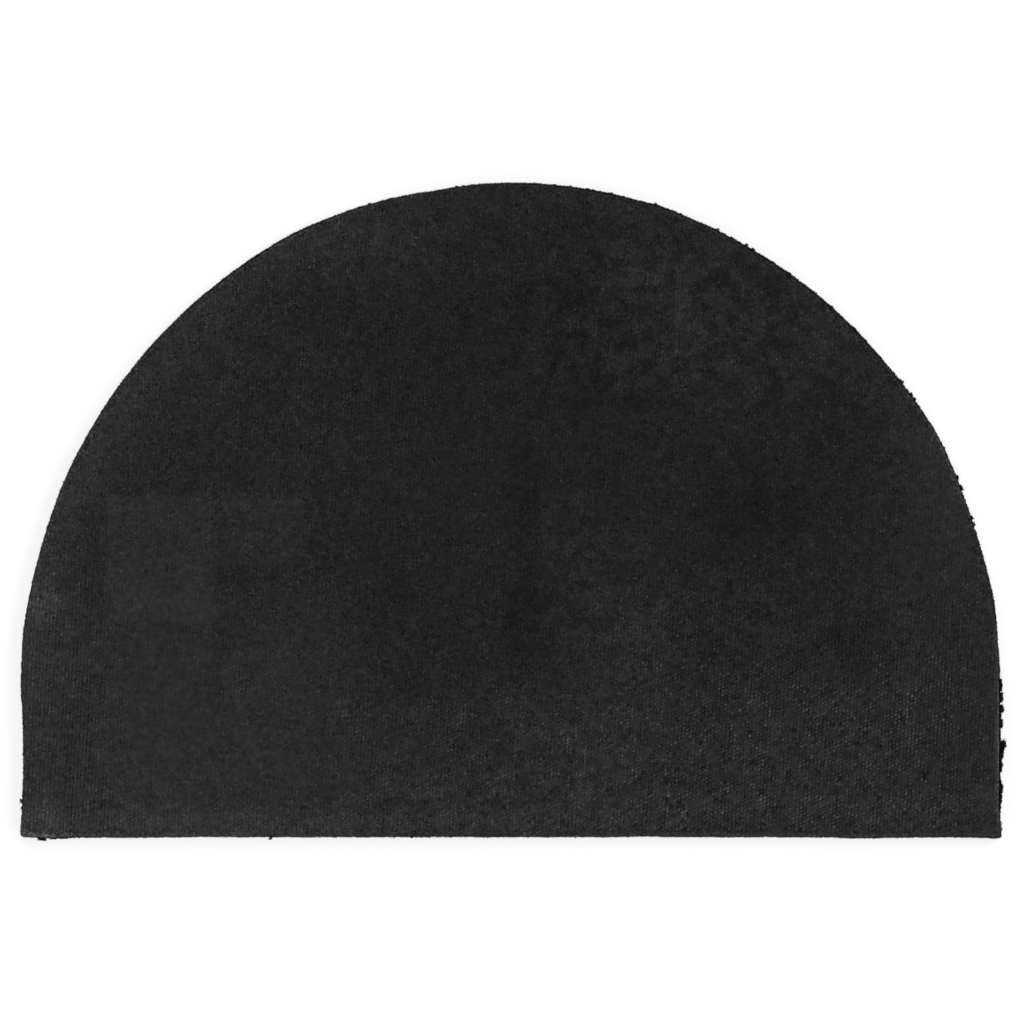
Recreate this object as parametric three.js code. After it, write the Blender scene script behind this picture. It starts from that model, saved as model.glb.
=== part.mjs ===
// A half round coir doormat, lying with its pile on the floor and its black backing up.
// Millimetres, +Z up. The origin is on the floor, under the middle of the mat's box. The
// straight edge is at -Y and the crown of the arch at +Y.
import * as THREE from "three";

// Driving dimensions
const BACKING_DEPTH = 499; // straight edge to crown
const SIDE_LENGTH = 110; // straight part of each side, below the arch
const HALF_WIDTH = 373;
const ARCH_RISE = BACKING_DEPTH - SIDE_LENGTH;
const FRONT_Y = -BACKING_DEPTH / 2;
const SHOULDER_Y = FRONT_Y + SIDE_LENGTH;

const MAT_THICKNESS = 15;
const BACKING_THICKNESS = 2.6;
const EDGE_BREAK = 0.5; // worn corner of the backing's cut edge
const PIECE_GAP = 0.3;
const PILE_HEIGHT = MAT_THICKNESS - BACKING_THICKNESS - PIECE_GAP;
const BACKING_Z = MAT_THICKNESS - BACKING_THICKNESS;

const BACKING_STEP = 12; // distance between points of the outline
const PILE_STEP = 5;
const HUB = new THREE.Vector2(-60, SHOULDER_Y + 30); // where the flat faces' triangles meet

// The knife wandered: each row moves the cut edge out (or in, if negative) around one place.
// at is the distance along the rim, counterclockwise from the right-hand corner.
const CUT_ERRORS = [
  { place: "right side", at: 75, out: 0.5, spread: 60 },
  { place: "right shoulder", at: 182, out: 1.5, spread: 28 },
  { place: "right of the arch, bulge", at: 315, out: 1.9, spread: 42 },
  { place: "whole right of the arch", at: 320, out: 1.1, spread: 150 },
  { place: "dip, upper right", at: 503, out: -0.4, spread: 22 },
  { place: "nick, upper right", at: 590, out: 0.8, spread: 12 },
  { place: "left of the crown", at: 768, out: -1.3, spread: 28 },
  { place: "upper left, bulge", at: 882, out: 1.1, spread: 40 },
  { place: "whole left of the arch", at: 1070, out: 1.3, spread: 230 },
  { place: "left of the arch", at: 1138, out: 0.5, spread: 20 },
  { place: "lower left, bulge", at: 1258, out: 1.2, spread: 34 },
  { place: "left shoulder", at: 1302, out: 0.6, spread: 14 },
  { place: "left waist", at: 1352, out: -0.9, spread: 32 },
  { place: "straight edge, far left", at: 1500, out: 0.3, spread: 30 },
  { place: "straight edge, left", at: 1555, out: -0.3, spread: 20 },
  { place: "straight edge, middle", at: 1895, out: -0.4, spread: 18 },
  { place: "straight edge, right", at: 2060, out: 0.8, spread: 30 },
];

// Both corners were cut askew.
const CORNER_SHIFTS = [
  { place: "right corner", at: 0, x: 1.2, y: -0.5, spread: 14 },
  { place: "left corner", at: 1418, x: -1.2, y: 1.0, spread: 14 },
];

// Each level of the pile's rim: its height as a share of the pile's, and how far it stands
// past the cut edge of the backing, leaning out towards the tips.
const PILE_LEVELS = [
  { share: 0, past: 0.5, lump: 0.35 },
  { share: 0.3, past: 0.6, lump: 0.5 },
  { share: 0.65, past: 0.1, lump: 0.5 },
  { share: 1, past: -0.8, lump: 0.3 },
];

// Locks of fibre round the rim. Each is a four-sided point, pulled out of one patch of the
// rim, and its reach is measured from the cut edge of the backing.
const LOCK_SHARE = 0.55; // of the places round the rim
const LOCK_LIMIT = 290;
const USUAL_REACH = 1.1;
const SHORTEST_REACH = 0.6; // as a share of the reach at a place
const LOCK_SWING = 0.35; // largest shift of a tip to either side, as a share of a patch
const STRAY_TUFTS = [
  { place: "right side, low", at: 36, reach: 1.8, spread: 9 },
  { place: "right side, under the big tuft", at: 53, reach: 1.5, spread: 6 },
  { place: "right side, big tuft", at: 68, reach: 5.2, spread: 6 },
  { place: "right side, round knot", at: 86, reach: 2.5, spread: 5 },
  { place: "right side, hook", at: 97, reach: 3.2, spread: 5 },
  { place: "right side, upper knot", at: 106, reach: 2.4, spread: 5 },
  { place: "right side, top bar", at: 116, reach: 1.7, spread: 6 },
  { place: "right of the arch, low", at: 245, reach: 1.0, spread: 10 },
  { place: "right of the arch, pair", at: 270, reach: 2.4, spread: 7 },
  { place: "right of the arch, high", at: 348, reach: 1.8, spread: 8 },
  { place: "upper right of the arch", at: 530, reach: 0.8, spread: 30 },
  { place: "left shoulder", at: 1312, reach: 0.6, spread: 5 },
  { place: "left side, low", at: 1394, reach: 1.6, spread: 5 },
  { place: "left corner, crumbs", at: 1433, reach: 2.8, spread: 9 },
  { place: "straight edge, spike", at: 1608, reach: 1.6, spread: 4 },
];
const ALWAYS_LOCKED = 0.9; // a stray reach over this always has its lock

const EDGES = [
  new THREE.LineCurve(
    new THREE.Vector2(HALF_WIDTH, FRONT_Y),
    new THREE.Vector2(HALF_WIDTH, SHOULDER_Y),
  ),
  new THREE.EllipseCurve(0, SHOULDER_Y, HALF_WIDTH, ARCH_RISE, 0, Math.PI),
  new THREE.LineCurve(
    new THREE.Vector2(-HALF_WIDTH, SHOULDER_Y),
    new THREE.Vector2(-HALF_WIDTH, FRONT_Y),
  ),
  new THREE.LineCurve(
    new THREE.Vector2(-HALF_WIDTH, FRONT_Y),
    new THREE.Vector2(HALF_WIDTH, FRONT_Y),
  ),
];
const RIM_LENGTH = EDGES.reduce((sum, curve) => sum + curve.getLength(), 0);

// A repeatable stream of numbers from 0 to 1.
function numberStream(seed) {
  let state = seed;
  return () => {
    state = (state * 1664525 + 1013904223) % 4294967296;
    return state / 4294967296;
  };
}

// The sum of a table's rows at a distance along the rim; the rim closes on itself.
function rowsAt(rows, column, distance) {
  return rows.reduce((sum, row) => {
    const direct = Math.abs(distance - row.at);
    const away = Math.min(direct, RIM_LENGTH - direct);
    return sum + row[column] * Math.exp(-((away / row.spread) ** 2));
  }, 0);
}

function outwardOf(curve, share) {
  const along = curve.getTangentAt(share);
  return new THREE.Vector2(along.y, -along.x);
}

// Points of the cut edge with their outward directions. At a corner the directions of both
// its edges are added, so that an inset moves both by the same amount.
function rimStations(step) {
  const stations = [];
  let travelled = 0;
  EDGES.forEach((curve, index) => {
    const before = EDGES[(index + EDGES.length - 1) % EDGES.length];
    const length = curve.getLength();
    const count = Math.round(length / step);
    for (let i = 0; i < count; i++) {
      const outward = outwardOf(curve, i / count);
      const previous = outwardOf(before, 1);
      if (i === 0 && outward.dot(previous) < 0.5) outward.add(previous);
      const at = travelled + (length * i) / count;
      const point = curve.getPointAt(i / count);
      point.addScaledVector(outward, rowsAt(CUT_ERRORS, "out", at));
      point.x += rowsAt(CORNER_SHIFTS, "x", at);
      point.y += rowsAt(CORNER_SHIFTS, "y", at);
      stations.push({ at, point, outward });
    }
    travelled += length;
  });
  return stations;
}

// One closed line of points at a height, each moved out from the cut edge.
function ring(stations, z, pastAt) {
  return stations.map(({ point, outward }, i) => {
    const moved = point.clone().addScaledVector(outward, pastAt(i));
    return new THREE.Vector3(moved.x, moved.y, z);
  });
}

// A closed skin over rings stacked from the bottom up, with a flat face under the first and
// over the last. tips holds the points pulled out of patches of the skin, by "level,place".
function skinOver(rings, tips = new Map()) {
  const count = rings[0].length;
  const points = rings.flat();
  const corners = [];
  const addPoint = (point) => points.push(point) - 1;
  for (let level = 0; level < rings.length - 1; level++) {
    for (let i = 0; i < count; i++) {
      const next = (i + 1) % count;
      const patch = [
        level * count + i,
        level * count + next,
        (level + 1) * count + next,
        (level + 1) * count + i,
      ];
      const tip = tips.get(`${level},${i}`);
      if (tip) {
        const peak = addPoint(tip);
        patch.forEach((corner, k) => corners.push(corner, patch[(k + 1) % patch.length], peak));
      } else {
        corners.push(patch[0], patch[1], patch[2], patch[0], patch[2], patch[3]);
      }
    }
  }
  const top = (rings.length - 1) * count;
  const bottomHub = addPoint(new THREE.Vector3(HUB.x, HUB.y, rings[0][0].z));
  const topHub = addPoint(new THREE.Vector3(HUB.x, HUB.y, points[top].z));
  for (let i = 0; i < count; i++) {
    const next = (i + 1) % count;
    corners.push(bottomHub, next, i);
    corners.push(topHub, top + i, top + next);
  }
  const geometry = new THREE.BufferGeometry().setFromPoints(points);
  geometry.setIndex(corners);
  geometry.computeVertexNormals();
  return geometry;
}

function makeBacking() {
  const stations = rimStations(BACKING_STEP);
  const inset = () => -EDGE_BREAK;
  const flush = () => 0;
  const backing = new THREE.Mesh(
    skinOver([
      ring(stations, 0, inset),
      ring(stations, EDGE_BREAK, flush),
      ring(stations, BACKING_THICKNESS - EDGE_BREAK, flush),
      ring(stations, BACKING_THICKNESS, inset),
    ]),
    new THREE.MeshStandardMaterial({ color: 0x242424, roughness: 0.85, metalness: 0 }),
  );
  backing.name = "backing";
  backing.position.z = BACKING_Z;
  return backing;
}

// The peak of one lock, over the middle of its patch.
function lockTip(rings, level, i, stations, random) {
  const next = (i + 1) % stations.length;
  const low = rings[level];
  const high = rings[level + 1];
  const width = stations[next].point.clone().sub(stations[i].point);
  const reach = USUAL_REACH + rowsAt(STRAY_TUFTS, "reach", stations[i].at);
  const tip = stations[i].point.clone().lerp(stations[next].point, 0.5);
  tip.addScaledVector(
    stations[i].outward.clone().normalize(),
    reach * THREE.MathUtils.lerp(SHORTEST_REACH, 1, random()),
  );
  tip.addScaledVector(width, LOCK_SWING * (2 * random() - 1));
  const z = THREE.MathUtils.lerp(low[i].z, high[i].z, THREE.MathUtils.lerp(0.2, 0.7, random()));
  return new THREE.Vector3(tip.x, tip.y, z);
}

function makePile() {
  const stations = rimStations(PILE_STEP);
  const random = numberStream(20);
  const rings = PILE_LEVELS.map(({ share, past, lump }) =>
    ring(stations, share * PILE_HEIGHT, () => past + lump * (2 * random() - 1)),
  );
  const tips = new Map();
  stations.forEach(({ at }, i) => {
    const level = Math.floor(random() * (rings.length - 1));
    const stray = rowsAt(STRAY_TUFTS, "reach", at) > ALWAYS_LOCKED;
    const chosen = random() < LOCK_SHARE || stray;
    if (chosen && tips.size < LOCK_LIMIT) {
      tips.set(`${level},${i}`, lockTip(rings, level, i, stations, random));
    }
  });
  const pile = new THREE.Mesh(
    skinOver(rings, tips),
    new THREE.MeshStandardMaterial({ color: 0x171310, roughness: 1, metalness: 0 }),
  );
  pile.name = "pile";
  return pile;
}

const doormat = new THREE.Group();
doormat.add(makePile(), makeBacking());

// The stray tufts make the box a little wider on one side, so the mat is moved to its middle.
const middle = new THREE.Box3().setFromObject(doormat).getCenter(new THREE.Vector3());
doormat.position.set(-middle.x, -middle.y, 0);

export default doormat;
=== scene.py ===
"""A half round coir doormat, lying with its pile on the floor and its black backing up.

Shapes are worked out in millimetres, with the middle of the backing at x 0, y 0 and the floor
at z 0, and are turned into metres in the frame's own place when a mesh is made.
"""
import math

import bpy
import numpy as np
from mathutils.geometry import delaunay_2d_cdt
from mathutils.kdtree import KDTree
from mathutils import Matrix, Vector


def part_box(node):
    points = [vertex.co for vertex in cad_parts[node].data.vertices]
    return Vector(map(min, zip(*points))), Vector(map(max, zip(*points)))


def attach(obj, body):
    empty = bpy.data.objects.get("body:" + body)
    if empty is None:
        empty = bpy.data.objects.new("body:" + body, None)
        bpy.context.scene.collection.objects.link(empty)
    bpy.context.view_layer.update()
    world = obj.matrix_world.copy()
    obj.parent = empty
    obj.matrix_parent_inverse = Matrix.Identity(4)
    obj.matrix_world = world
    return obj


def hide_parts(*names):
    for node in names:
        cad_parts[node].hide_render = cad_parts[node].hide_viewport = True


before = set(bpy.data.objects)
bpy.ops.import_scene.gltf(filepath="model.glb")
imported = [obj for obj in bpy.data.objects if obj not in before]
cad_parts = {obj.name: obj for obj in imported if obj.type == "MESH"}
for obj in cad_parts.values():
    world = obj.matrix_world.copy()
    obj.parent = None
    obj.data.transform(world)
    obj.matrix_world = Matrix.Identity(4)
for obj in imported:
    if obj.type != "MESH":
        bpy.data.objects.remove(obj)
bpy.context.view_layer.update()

BACKING_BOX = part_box("backing")
MM = 0.001

BACKING_TOP = BACKING_BOX[1][2] / MM
BACKING_UNDERSIDE = BACKING_BOX[0][2] / MM
BACKING_THICKNESS = BACKING_TOP - BACKING_UNDERSIDE

# The bare outline: a straight edge at the front, a short straight side at each end of it and
# half an ellipse between these. Its ends are the shoulders.
BACKING_DEPTH = 499
SIDE_LENGTH = 110
HALF_WIDTH = 373
ARCH_RISE = BACKING_DEPTH - SIDE_LENGTH
FRONT_Y = -BACKING_DEPTH / 2
SHOULDER_Y = FRONT_Y + SIDE_LENGTH
RIM_ALLOWANCE = 5  # the cut edge is nowhere further past the bare outline


def table(columns, *rows):
    """A short table: one dict for each row, under the named columns."""
    names = columns.split(", ")
    return [dict(zip(names, row)) for row in rows]


# Where the knife wandered. at is the distance along the rim, counterclockwise from the
# right-hand corner, and spread how far a row reaches to each side, here and in the tables
# below. out is how far the cut edge is moved outwards.
CUT_ERRORS = table(
    "place, at, out, spread",
    ("right side", 75, 0.5, 60),
    ("right shoulder", 182, 1.5, 28),
    ("right arch, bulge", 315, 1.9, 42),
    ("whole right arch", 320, 1.1, 150),
    ("dip, upper right", 503, -0.4, 22),
    ("nick, upper right", 590, 0.8, 12),
    ("left of the crown", 768, -1.3, 28),
    ("upper left, bulge", 882, 1.1, 40),
    ("whole left arch", 1070, 1.3, 230),
    ("left arch", 1138, 0.5, 20),
    ("lower left, bulge", 1258, 1.2, 34),
    ("left shoulder", 1302, 0.6, 14),
    ("left waist", 1352, -0.9, 32),
    ("front, far left", 1500, 0.3, 30),
    ("front, left", 1555, -0.3, 20),
    ("front, middle", 1895, -0.4, 18),
    ("front, right", 2060, 0.8, 30),
)
# How far the two corners are pulled askew.
CORNER_SHIFTS = table(
    "place, at, x, y, spread",
    ("right corner", 0, 1.2, -0.5, 14),
    ("left corner", 1418, -1.2, 1, 14),
)

# How torn and frayed the cut is: the usual amount everywhere, and more in these places.
USUAL_FRAY = 0.05
FRAYS = table(
    "place, at, size, spread",
    ("right arch", 310, 0.25, 90),
    ("upper right arch", 450, 0.25, 80),
    ("right of the crown", 570, 0.2, 80),
    ("upper left arch", 890, 0.15, 80),
    ("left arch", 1040, 0.22, 100),
    ("left corner", 1440, 0.25, 40),
    ("left side", 1400, 0.12, 30),
    ("front", 1700, 0.06, 200),
)

# How far the backing is drawn in from the cut line, so that the fibre under it shows. A row
# below zero takes some of that back, and the backing reaches further out there.
USUAL_DRAWN_IN = 0.28
DRAWN_IN = table(
    "place, at, size, spread",
    ("upper right arch", 440, 0.5, 90),
    ("right of the crown", 640, 0.4, 80),
    ("upper left arch", 910, 0.35, 70),
    ("left arch", 1040, 0.4, 90),
    ("left corner", 1421, -0.5, 22),
    ("front, far left", 1434, -1, 15),
    ("front", 1850, 0.15, 300),
)

# How far the fibre round the rim stands out more than its rows say, or less, where below zero.
USUAL_MORE_OUT = 0.25
MORE_OUT = table(
    "place, at, out, spread",
    ("right side", 55, 0.35, 80),
    ("right arch", 300, 0.2, 80),
    ("upper right arch", 500, 0.2, 140),
    ("upper left arch", 890, 0.15, 70),
    ("left arch", 1020, -0.15, 60),
    ("left shoulder", 1250, 0.1, 120),
    ("left corner", 1425, 0.3, 35),
    ("front, far left", 1437, 0.8, 18),
    ("front", 1800, -0.15, 300),
)

# Where the edge of the backing is lighter, in a band of this depth: scuffed, and with a painted
# highlight where the rim catches the light.
SCUFF_AND_HIGHLIGHT_DEPTH = 1.5
SCUFFS_AND_HIGHLIGHTS = table(
    "place, at, size, spread",
    ("right side", 70, 1.6, 70),
    ("right arch", 310, 0.9, 65),
    ("upper right arch", 560, 0.2, 110),
    ("crown", 700, 0.15, 80),
    ("upper left arch", 860, 0.5, 90),
    ("left arch", 1180, 0.6, 140),
    ("left corner", 1436, 1.5, 30),
    ("front, left", 1570, 0.6, 90),
    ("front, right", 1990, 0.6, 170),
)

# Where the band just inside the rim is torn into pits and light flakes, how deep it is, and
# how torn the cut itself is all round.
TORN_DEPTH = 3.4
CUT_TORN = 0.3
TORN = table(
    "place, at, size, spread",
    ("right shoulder", 205, 0.4, 25),
    ("right arch", 300, 0.7, 75),
    ("upper right arch", 430, 0.8, 90),
    ("right of the crown", 600, 0.5, 80),
    ("upper left arch", 880, 0.6, 100),
    ("left arch", 1080, 0.7, 120),
    ("left corner", 1436, 1, 40),
    ("front", 1650, 0.4, 220),
)

# The moulded cloth imprint: steps from one raised dot to its neighbours across and along
# the columns, which lean a little to the right. The dots differ by chance in height and
# place, and stand on a ground a little below the top of the sheet.
DOT_ACROSS = np.array((2.92, 1.33))
DOT_ALONG = np.array((0.18, 2.99))
DOT_HEIGHT = 0.34
DOT_DIFFERENCE = 0.38  # as a share of the height
DOT_SHIFT = 0.28
GROUND_DEPTH = 0.25
GROUND_GRAIN = 0.03
IMPRINT_MARGIN = 1.5

# Worn, dusty, flattened and dark places on the backing. The broad light patches towards the
# front and the darker ones about the crown are in part painted light and shade. x, y is the
# middle and wide, deep the half sizes; edge 2 is a soft round patch and more is squarer. tone
# lightens or darkens, mottle breaks the patch up, dots and ribs are how clearly the imprint's
# dots and their columns stand out, and smooth is how much of the grain is pressed out. What a
# row leaves out is 0.
PATCHES = table(
    "place, x, y, wide, deep, edge, tone, mottle, dots, smooth, ribs",
    ("lower left", -245, -168, 130, 107, 5, 0.52, 0, 0.1, 0.2),
    ("front, left", -153, -243, 225, 13, 4, 0.5, 0.3, 0.3),
    ("front, left, light spot", -262, -238, 24, 12, 2, 0.3, 0.3, 0.2),
    ("front, light spot", -126, -238, 18, 12, 2, 0.3, 0.3, 0.2),
    ("front, right", 190, -234, 170, 22, 4, 0.4, 0.2, 0.45),
    ("flattened, upper left", -268, -36, 43, 48, 14, 0.49, 0, 0, 0.3, -0.15),
    ("flattened, upper right", -190, -15, 34, 26, 12, 0.33, 0.3, 0, 0.2, -0.2),
    ("flattened, lower", -216, -160, 86, 62, 8, 0.04, -0.1, 0, 0.1, -0.15),
    ("left arch, light", -300, 16, 48, 22, 3, 0.12, 0.2),
    ("left, above the flattened part", -205, 60, 90, 50, 2, 0.12),
    ("upper left, mottled", -120, 205, 58, 26, 2, 0.36, 0.5, 0, 0, 0.1),
    ("left arch, mottled", -225, 130, 30, 40, 2, 0.12, 0.3, 0, 0, 0.1),
    ("upper right, mottled", 140, 140, 100, 62, 3, 0, 0.9),
    ("upper right, light", 130, 144, 14, 28, 2, 0.3, 0.3),
    ("upper right, light above", 106, 184, 40, 13, 3, 0.3, 0.3),
    ("upper right, light near the rim", 240, 152, 18, 26, 2, 0.35, 0.4),
    ("left of the crown", -50, 120, 100, 75, 2, -0.16, 0.1),
    ("crown, right", 45, 170, 50, 60, 2, -0.15, 0.2),
    ("middle, mottled", 55, -40, 22, 50, 2, -0.02, 0.7),
    ("right of the middle, light", 93, -102, 42, 40, 3, 0.28, 0.5, 0.2),
    ("right of the middle", 170, -84, 70, 45, 2, 0.05, 0.5, 0.7),
    ("below the middle", 55, -188, 95, 52, 3, 0.48, 0.6, 0.95, 0, -0.4),
    ("front, middle", -64, -222, 50, 26, 2, 0.4, 0.6, 0.4),
    ("lower right", 232, -180, 88, 48, 3, 0.42, 0.3, 0.5, 0, -0.1),
    ("lower right, dots", 232, -182, 122, 70, 5, 0.03, 0, 1.1, 0, -0.15),
    ("below the middle, left", -85, -184, 54, 38, 7, 0.24, 0.2, 0.5),
    ("lower left, light", -278, -212, 44, 36, 2, 0.14, 0.2),
    ("right of the streak", 68, 64, 66, 48, 2, -0.16, 0, 0, 0.15),
    ("left of the streak", -30, 30, 80, 50, 2, -0.02, 0, 0, 0.25),
    ("left, smoother", -264, -125, 34, 78, 4, 0, 0, 0, 0.3),
    ("right arch, smoother", 330, 10, 32, 50, 3, 0.05, 0, 0, 0.4, -0.1),
    ("right side, dark", 328, -95, 30, 32, 2, -0.13),
    ("right side", 325, -120, 48, 100, 3, 0.28, 0.2, 0.6, 0.2, 0.1),
    ("left side", -345, -145, 40, 118, 5, 0.09, 0.2, 0.5, 0, 0.35),
    ("left side, light spot", -359, -71, 13, 11, 2, 1.2, 0.3, 0.2),
    ("left corner", -360, -236, 18, 14, 2, 0.9, 0.4, 0.2),
    ("right corner", 345, -226, 44, 24, 2, 0.22, 0.2, 0.2),
    ("upper left, ribbed", -115, 84, 80, 60, 2, 0, 0, 0, 0, 0.32),
    ("dark streak down the middle", 9, -20, 13, 78, 3, -0.26, -0.1),
    ("dark foot of the streak", 15, -88, 22, 38, 3, -0.2),
    ("dark right", 190, -2, 80, 52, 2, -0.24, 0, 0, 0, -0.05),
    ("dark right, core", 180, -8, 34, 28, 2, -0.1),
    ("dark upper right", 250, 66, 44, 34, 2, -0.22, 0.3),
    ("dark left of the middle", -84, -62, 54, 46, 2, -0.09, 0.1),
    ("light below left", -66, -150, 38, 26, 2, 0.08, 0.3, 0.2),
    ("dark nick", -218, -100, 11, 14, 2, -0.35, 0, 0.4),
    ("rough spot", -208, -134, 14, 14, 2, 0.1, 0.8, 1),
    ("dark lower right", 265, -105, 24, 18, 2, -0.22, 0.1, 0.2),
    ("dark right of the middle", 145, -96, 22, 28, 2, -0.12, 0.1, 0.2),
)
USUAL_MOTTLE = 0.35
USUAL_RIBS = 0.36
USUAL_DOTS = 0.14

# Lighter bands that follow the rim, as deep as depth says; the lightening is in part painted
# light.
RIM_BANDS = table(
    "place, at, tone, depth, spread",
    ("left side", 1310, 0.5, 26, 150),
    ("left arch", 1080, 0.7, 32, 170),
    ("upper left", 880, 0.3, 18, 110),
    ("right side", 90, 0.25, 12, 110),
    ("right arch", 290, 0.5, 34, 80),
    ("right of the crown", 655, 0.2, 18, 50),
    ("upper right", 500, 0.08, 16, 90),
)

# The brush of fibre at the rim, row by row: how far inside the cut edge its roots stand, how
# far the tips lean out from there, and the spacing along the rim.
FIBRE_ROWS = table(
    "inset, lean, spacing",
    (0.2, 1.3, 0.42),
    (0.5, 1.7, 0.45),
    (0.9, 2.1, 0.5),
    (1.4, 2.4, 0.6),
    (2, 2.5, 0.8),
)
FIBRE_RADIUS = 0.24
ROOT_DEPTH = 0.15  # how far the roots reach up into the backing
RIM_PIECES = 3

# Tufts of black fibre that stick out past the cut edge, at the right side, on the arch and at
# the left corner: reach is how far, width how much of the rim they take up, swing how far
# the tips bend up the rim, and skew how much longer they are at their upper end.
TUFTS = table(
    "place, at, reach, width, fibres, swing, skew",
    ("foot of the right side", 22, 2.3, 5, 70),
    ("low bar", 29, 3.1, 9, 160, 0.2),
    ("low knot", 36.5, 3.8, 8, 160, 0.2),
    ("low knot, upper end", 41.5, 3, 5, 80, 0.2, -0.3),
    ("under the big tuft", 53, 3.5, 9, 180, 0.2, 0.1),
    ("big tuft, lower", 61.5, 4.7, 7.5, 200, 0.1, 0.2),
    ("big tuft, upper", 67, 7.3, 10.6, 380, 0.2, 0.5),
    ("bar over the big tuft", 76.5, 1.9, 8, 110, 0.1, -0.2),
    ("round knot", 86, 3.4, 7, 170, 0.2),
    ("below the hook", 92.5, 2.4, 5, 80, 0.1),
    ("hook", 97.3, 4.3, 5.2, 160, 0.1),
    ("upper knot", 106, 3.6, 8, 220, 0.1),
    ("top bar", 115.5, 3.1, 10, 200, 0.1),
    ("top", 128, 1.7, 9, 90),
    ("right shoulder", 143, 0.9, 16, 90),
    ("pair on the arch, lower", 269.5, 3.1, 4.6, 80, 0.1),
    ("pair on the arch, upper", 277.6, 4, 2.4, 80, 0.1, 0.3),
    ("high on the right arch", 345.7, 2.7, 2.6, 60),
    ("high on the arch, upper", 349.5, 2.8, 3, 60),
    ("left corner, crumb", 1431.6, 4.5, 5.6, 180, 0, 0.1),
    ("left corner, second crumb", 1439.5, 2.9, 5, 90),
    ("left corner, bar", 1447, 2.3, 9, 110),
)

# Nubs of torn fibre, one by one, and how dusty each is. On those that lie high against the
# backing, the dust's lightening is partly painted light.
NUBS = table(
    "at, reach, width, dust",
    (8, 2.5, 8, 0.9),
    (240, 2.8, 3.4, 0.05),
    (245.5, 2.9, 3, 0.05),
    (255, 1.3, 3, 0.15),
    (286, 1.4, 5, 0.8),
    (302, 2.2, 2.8, 0),
    (306, 1.7, 3.2, 0.2),
    (319, 1.9, 7, 0.8),
    (354, 1.9, 4, 0.5),
    (362.5, 3.2, 4, 0.15),
    (371, 1.8, 3, 0.12),
    (387, 1.6, 1.6, 0),
    (403.5, 1.8, 2, 0.12),
    (415.7, 2.2, 2.2, 0),
    (440, 2, 3.4, 0.15),
    (481, 2.1, 2.6, 0),
    (496, 2.1, 4, 0.1),
    (515, 2.7, 2.4, 0),
    (520.5, 2.9, 2.2, 0),
    (533, 1.8, 3, 0.12),
    (545.3, 2.9, 2.2, 0.5),
    (576, 1.9, 2, 0),
    (582, 2, 5, 0.3),
    (596.6, 2.7, 2.8, 0),
    (606, 1.7, 3, 0.15),
    (631.5, 2.2, 4, 0.3),
    (650, 1.9, 2.4, 0.15),
    (663, 2.1, 1.6, 0.8),
    (675, 1.8, 2.2, 0.15),
    (745, 1.9, 1.6, 0.3),
    (750, 2.1, 2.4, 0.3),
    (801, 1.6, 4, 0.2),
    (818, 2, 2.6, 0.1),
    (826, 1.5, 3, 0.1),
    (871, 1.3, 4, 0.5),
    (1179, 1.9, 3, 0.15),
    (1310, 1.5, 1.8, 0.15),
    (1390, 3.3, 2, 0.3),
    (1425.5, 2, 2.4, 0.6),
    (1436, 1.7, 6, 0.6),
    (1444, 1.5, 5, 0.6),
    (1714, 1.8, 2.4, 0.05),
    (1803, 1.5, 2, 0.12),
    (1869, 1, 2.4, 0.2),
)

# Smaller ones, scattered: how many from start to end along the rim, and how far they reach.
NUB_RUNS = table(
    "place, start, end, count, reach, dust",
    ("right side", 0, 150, 16, 1.9, 0),
    ("right arch", 180, 640, 70, 1.6, 0.25),
    ("crown", 640, 780, 8, 1.1, 0.25),
    ("upper left arch", 780, 900, 8, 1.2, 0.15),
    ("left arch", 900, 1300, 14, 1.1, 0.05),
    ("left shoulder", 1150, 1330, 9, 1.3, 0.15),
    ("left side", 1385, 1400, 3, 2.4, 0.05),
    ("front, spike", 1606, 1608, 3, 3.4, 0.15),
    ("front", 1455, 2150, 24, 1.2, 0.05),
)

# The face of the pile, under the mat: a coarse brush of tufts and the fibres between them.
PILE_TUFT_ACROSS = np.array((2.9, 0.35))
PILE_TUFT_ALONG = np.array((-0.25, 2.95))
PILE_MARGIN = 2.2
PILE_FACE_FIBRES = 9000

# The lattice of the dots and tufts: half the width and depth of the area that it is laid
# over, and the corners of each cell in their order round it.
LATTICE_AREA = (400, 270)
CELL_CORNERS = ((0, 0), (1, 0), (1, 1), (0, 1))

# The photograph: its width, the pixel where the mat's middle lies, and its scale.
PHOTO_PIXELS = 1024
MAT_PIXEL_X = 510.9
MAT_PIXEL_Y = 510.05
PHOTO_SCALE = 0.7648  # millimetres to a pixel
PHOTO_MIDDLE = PHOTO_SCALE * np.array(
    (PHOTO_PIXELS / 2 - MAT_PIXEL_X, MAT_PIXEL_Y - PHOTO_PIXELS / 2)
)
CAMERA_LENS = 300

random = np.random.default_rng(seed=11)


# The outline

def straight(start, end, outward):
    """A straight edge of the outline: both ends, and the outward direction at each."""
    return np.array([start, end], float), np.array([outward, outward], float)


def rim_edges():
    """The bare outline's four edges as lines of points, with their outward directions."""
    turn = np.linspace(0, math.pi, num=4001)
    arch = np.c_[HALF_WIDTH * np.cos(turn), SHOULDER_Y + ARCH_RISE * np.sin(turn)]
    normal = np.c_[np.cos(turn) / HALF_WIDTH, np.sin(turn) / ARCH_RISE]
    normal /= np.linalg.norm(normal, axis=1)[:, None]
    return [
        straight((HALF_WIDTH, FRONT_Y), (HALF_WIDTH, SHOULDER_Y), (1, 0)),
        (arch, normal),
        straight((-HALF_WIDTH, SHOULDER_Y), (-HALF_WIDTH, FRONT_Y), (-1, 0)),
        straight((-HALF_WIDTH, FRONT_Y), (HALF_WIDTH, FRONT_Y), (0, -1)),
    ]


def line_lengths(points):
    """Distance along a line at each of its points."""
    steps = np.linalg.norm(np.diff(points, axis=0), axis=1)
    return np.concatenate([[0], np.cumsum(steps)])


RIM_LENGTH = sum(line_lengths(points)[-1] for points, _ in rim_edges())


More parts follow.
